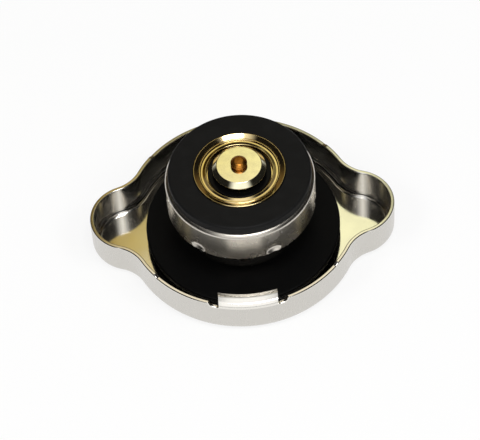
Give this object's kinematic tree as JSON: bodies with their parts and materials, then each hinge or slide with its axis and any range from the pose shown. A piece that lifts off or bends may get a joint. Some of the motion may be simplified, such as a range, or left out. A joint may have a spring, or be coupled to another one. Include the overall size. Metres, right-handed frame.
{
  "type": "radiator cap",
  "caption": "Pressure cap with a two-eared metal shell, inward locking tabs, a sprung pressure valve with a rubber seal and a small vacuum valve in its middle.",
  "frame": {"origin": "centre of the crown's outer face, on the plane the cap lies on", "axes": "+X through an ear, +Y through a locking tab, +Z from the crown towards the valve"},
  "size_m": [0.0598, 0.0458, 0.0239],
  "materials": {
    "plated_shell": "bright plated sheet",
    "plain_steel": "satin drawn sheet",
    "spring_steel": "satin wire",
    "black_rubber": "smooth moulded",
    "seal_rubber": "satin moulded",
    "turned_brass": "turned",
    "pale_brass": "turned and plated"
  },
  "bodies": {
    "shell": {"cap_shell": "plated_shell", "centre_rivet": "plain_steel", "rivet_washer": "plain_steel"},
    "holder": {"gasket_spring_plate": "spring_steel", "neck_gasket": "black_rubber", "spring_holder": "plain_steel", "main_spring": "spring_steel"},
    "pressure_valve": {"valve_cup": "plain_steel", "pressure_seal": "seal_rubber", "seal_retainer": "turned_brass", "vacuum_spring": "spring_steel"},
    "vacuum_valve": {"vacuum_seal": "black_rubber", "vacuum_disc": "pale_brass", "vacuum_stem": "turned_brass", "stem_washer": "turned_brass"}
  },
  "joints": [
    {"name": "holder_swivel", "type": "hinge", "parent": "shell", "child": "holder", "pos_m": [0, 0, 0], "axis": [0, 0, 1], "continuous": true},
    {"name": "pressure_valve_lift", "type": "slide", "parent": "holder", "child": "pressure_valve", "axis": [0, 0, -1], "range_m": [0, 0.0025], "stiffness_N_per_m": 2000, "springref_m": -0.0005, "deforming": ["main_spring"]},
    {"name": "vacuum_valve_pull", "type": "slide", "parent": "pressure_valve", "child": "vacuum_valve", "axis": [0, 0, 1], "range_m": [0, 0.0015], "stiffness_N_per_m": 150, "springref_m": -0.0005, "deforming": ["vacuum_spring"]}
  ]
}
